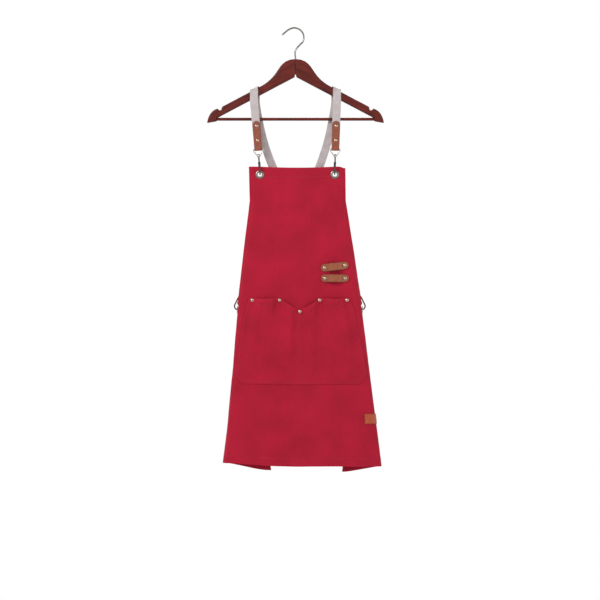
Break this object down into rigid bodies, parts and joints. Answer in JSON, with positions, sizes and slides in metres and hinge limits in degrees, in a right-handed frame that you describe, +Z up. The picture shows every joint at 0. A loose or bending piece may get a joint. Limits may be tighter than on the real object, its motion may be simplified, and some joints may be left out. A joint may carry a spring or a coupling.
{
  "type": "apron on a coat hanger",
  "caption": "Bib apron of dark red canvas with a double front pocket, leather tabs and tool loops, hung by crossed webbing straps on a wooden coat hanger with a trouser bar.",
  "frame": {"origin": "underside of the hook's crown, where a rail carries the hanger", "axes": "+Z up, +X to the viewer's right, the apron's front faces -Y"},
  "size_m": [0.442, 0.0764, 1.1092],
  "materials": {
    "hook_wire": "polished chrome plate",
    "hook_washer": "satin nickel plate",
    "hanger_arm_left": "dark mahogany stain under clear lacquer",
    "hanger_arm_right": "dark mahogany stain under clear lacquer",
    "trouser_bar": "dark mahogany stain under clear lacquer",
    "apron_panel": "heavy cotton canvas, plain weave",
    "pocket_panel": "heavy cotton canvas, plain weave",
    "tool_loop_upper": "vegetable tanned cowhide",
    "tool_loop_lower": "vegetable tanned cowhide",
    "side_label": "vegetable tanned cowhide",
    "bib_eyelet_left": "polished copper plate",
    "bib_eyelet_washer_left": "polished copper plate",
    "waist_eyelet_left": "polished copper plate",
    "waist_eyelet_washer_left": "polished copper plate",
    "bib_eyelet_right": "polished copper plate",
    "bib_eyelet_washer_right": "polished copper plate",
    "waist_eyelet_right": "polished copper plate",
    "waist_eyelet_washer_right": "polished copper plate",
    "pocket_rivet_far_left": "polished copper plate",
    "pocket_rivet_left": "polished copper plate",
    "pocket_rivet_centre": "polished copper plate",
    "pocket_rivet_right": "polished copper plate",
    "pocket_rivet_far_right": "polished copper plate",
    "tool_loop_rivet_upper_left": "polished copper plate",
    "tool_loop_rivet_upper_right": "polished copper plate",
    "tool_loop_rivet_lower_left": "polished copper plate",
    "tool_loop_rivet_lower_right": "polished copper plate",
    "front_left_snap_eye": "satin nickel plate",
    "front_left_snap_hook": "satin nickel plate",
    "front_left_snap_gate": "satin nickel plate",
    "front_left_snap_pin": "satin nickel plate",
    "front_right_snap_eye": "satin nickel plate",
    "front_right_snap_hook": "satin nickel plate",
    "front_right_snap_gate": "satin nickel plate",
    "front_right_snap_pin": "satin nickel plate",
    "rear_left_snap_eye": "satin nickel plate",
    "rear_left_snap_hook": "satin nickel plate",
    "rear_left_snap_gate": "satin nickel plate",
    "rear_left_snap_pin": "satin nickel plate",
    "rear_right_snap_eye": "satin nickel plate",
    "rear_right_snap_hook": "satin nickel plate",
    "rear_right_snap_gate": "satin nickel plate",
    "rear_right_snap_pin": "satin nickel plate",
    "webbing_left": "woven cotton webbing",
    "front_left_tab": "vegetable tanned cowhide",
    "front_left_tab_rivet_lower": "polished copper plate",
    "front_left_tab_rivet_upper": "polished copper plate",
    "rear_left_slider": "satin nickel plate",
    "webbing_right": "woven cotton webbing",
    "front_right_tab": "vegetable tanned cowhide",
    "front_right_tab_rivet_lower": "polished copper plate",
    "front_right_tab_rivet_upper": "polished copper plate",
    "rear_right_slider": "satin nickel plate"
  },
  "bodies": {
    "hook": {"hook_wire": "hook_wire", "hook_washer": "hook_washer"},
    "hanger": {"hanger_arm_left": "hanger_arm_left", "hanger_arm_right": "hanger_arm_right", "trouser_bar": "trouser_bar"},
    "garment": {"apron_panel": "apron_panel", "pocket_panel": "pocket_panel", "tool_loop_upper": "tool_loop_upper", "tool_loop_lower": "tool_loop_lower", "side_label": "side_label", "bib_eyelet_left": "bib_eyelet_left", "bib_eyelet_washer_left": "bib_eyelet_washer_left", "waist_eyelet_left": "waist_eyelet_left", "waist_eyelet_washer_left": "waist_eyelet_washer_left", "bib_eyelet_right": "bib_eyelet_right", "bib_eyelet_washer_right": "bib_eyelet_washer_right", "waist_eyelet_right": "waist_eyelet_right", "waist_eyelet_washer_right": "waist_eyelet_washer_right", "pocket_rivet_far_left": "pocket_rivet_far_left", "pocket_rivet_left": "pocket_rivet_left", "pocket_rivet_centre": "pocket_rivet_centre", "pocket_rivet_right": "pocket_rivet_right", "pocket_rivet_far_right": "pocket_rivet_far_right", "tool_loop_rivet_upper_left": "tool_loop_rivet_upper_left", "tool_loop_rivet_upper_right": "tool_loop_rivet_upper_right", "tool_loop_rivet_lower_left": "tool_loop_rivet_lower_left", "tool_loop_rivet_lower_right": "tool_loop_rivet_lower_right", "front_left_snap_eye": "front_left_snap_eye", "front_right_snap_eye": "front_right_snap_eye", "rear_left_snap_eye": "rear_left_snap_eye", "rear_right_snap_eye": "rear_right_snap_eye", "webbing_left": "webbing_left", "front_left_tab": "front_left_tab", "front_left_tab_rivet_lower": "front_left_tab_rivet_lower", "front_left_tab_rivet_upper": "front_left_tab_rivet_upper", "webbing_right": "webbing_right", "front_right_tab": "front_right_tab", "front_right_tab_rivet_lower": "front_right_tab_rivet_lower", "front_right_tab_rivet_upper": "front_right_tab_rivet_upper"},
    "front_left_snap": {"front_left_snap_hook": "front_left_snap_hook", "front_left_snap_pin": "front_left_snap_pin"},
    "front_left_gate": {"front_left_snap_gate": "front_left_snap_gate"},
    "front_right_snap": {"front_right_snap_hook": "front_right_snap_hook", "front_right_snap_pin": "front_right_snap_pin"},
    "front_right_gate": {"front_right_snap_gate": "front_right_snap_gate"},
    "rear_left_snap": {"rear_left_snap_hook": "rear_left_snap_hook", "rear_left_snap_pin": "rear_left_snap_pin"},
    "rear_left_gate": {"rear_left_snap_gate": "rear_left_snap_gate"},
    "rear_right_snap": {"rear_right_snap_hook": "rear_right_snap_hook", "rear_right_snap_pin": "rear_right_snap_pin"},
    "rear_right_gate": {"rear_right_snap_gate": "rear_right_snap_gate"},
    "rear_left_slider": {"rear_left_slider": "rear_left_slider"},
    "rear_right_slider": {"rear_right_slider": "rear_right_slider"}
  },
  "joints": [
    {"name": "hanger_swivel", "type": "hinge", "parent": "hook", "child": "hanger", "pos_m": [0, 0, -0.077], "axis": [0, 0, 1], "continuous": true},
    {"name": "garment_lift", "type": "slide", "parent": "hanger", "child": "garment", "axis": [0, 0, 1], "range_m": [0, 0.018]},
    {"name": "front_left_snap_swivel", "type": "hinge", "parent": "garment", "child": "front_left_snap", "pos_m": [-0.08913, -0.0087, -0.355], "axis": [-0.071, 0, 0.9975], "range_deg": [-8, 8]},
    {"name": "front_left_gate_hinge", "type": "hinge", "parent": "front_left_snap", "child": "front_left_gate", "pos_m": [-0.09049, -0.0029, -0.33585], "axis": [-0.9975, 0, -0.071], "range_deg": [0, 16], "stiffness_Nm_per_rad": 0.02, "springref_deg": -8.59},
    {"name": "front_right_snap_swivel", "type": "hinge", "parent": "garment", "child": "front_right_snap", "pos_m": [0.09787, -0.0087, -0.355], "axis": [0.0279, 0, 0.9996], "range_deg": [-8, 8]},
    {"name": "front_right_gate_hinge", "type": "hinge", "parent": "front_right_snap", "child": "front_right_gate", "pos_m": [0.09841, -0.0029, -0.33581], "axis": [-0.9996, 0, 0.0279], "range_deg": [0, 16], "stiffness_Nm_per_rad": 0.02, "springref_deg": -8.59},
    {"name": "rear_left_snap_swivel", "type": "hinge", "parent": "garment", "child": "rear_left_snap", "pos_m": [-0.14409, 0.0178, -0.693], "axis": [0.4384, 0, 0.8988], "range_deg": [-6, 6]},
    {"name": "rear_left_gate_hinge", "type": "hinge", "parent": "rear_left_snap", "child": "rear_left_gate", "pos_m": [-0.13046, 0.0178, -0.67829], "axis": [0, 1, 0], "range_deg": [0, 16], "stiffness_Nm_per_rad": 0.02, "springref_deg": -8.59},
    {"name": "rear_right_snap_swivel", "type": "hinge", "parent": "garment", "child": "rear_right_snap", "pos_m": [0.16549, 0.0178, -0.693], "axis": [-0.4384, 0, 0.8988], "range_deg": [-6, 6]},
    {"name": "rear_right_gate_hinge", "type": "hinge", "parent": "rear_right_snap", "child": "rear_right_gate", "pos_m": [0.15186, 0.0178, -0.67829], "axis": [0, -1, 0], "range_deg": [0, 16], "stiffness_Nm_per_rad": 0.02, "springref_deg": -8.59},
    {"name": "rear_left_slider_slide", "type": "slide", "parent": "garment", "child": "rear_left_slider", "axis": [0.4384, 0, 0.8988], "range_m": [-0.018, 0.018]},
    {"name": "rear_right_slider_slide", "type": "slide", "parent": "garment", "child": "rear_right_slider", "axis": [-0.4384, 0, 0.8988], "range_m": [-0.018, 0.018]}
  ]
}
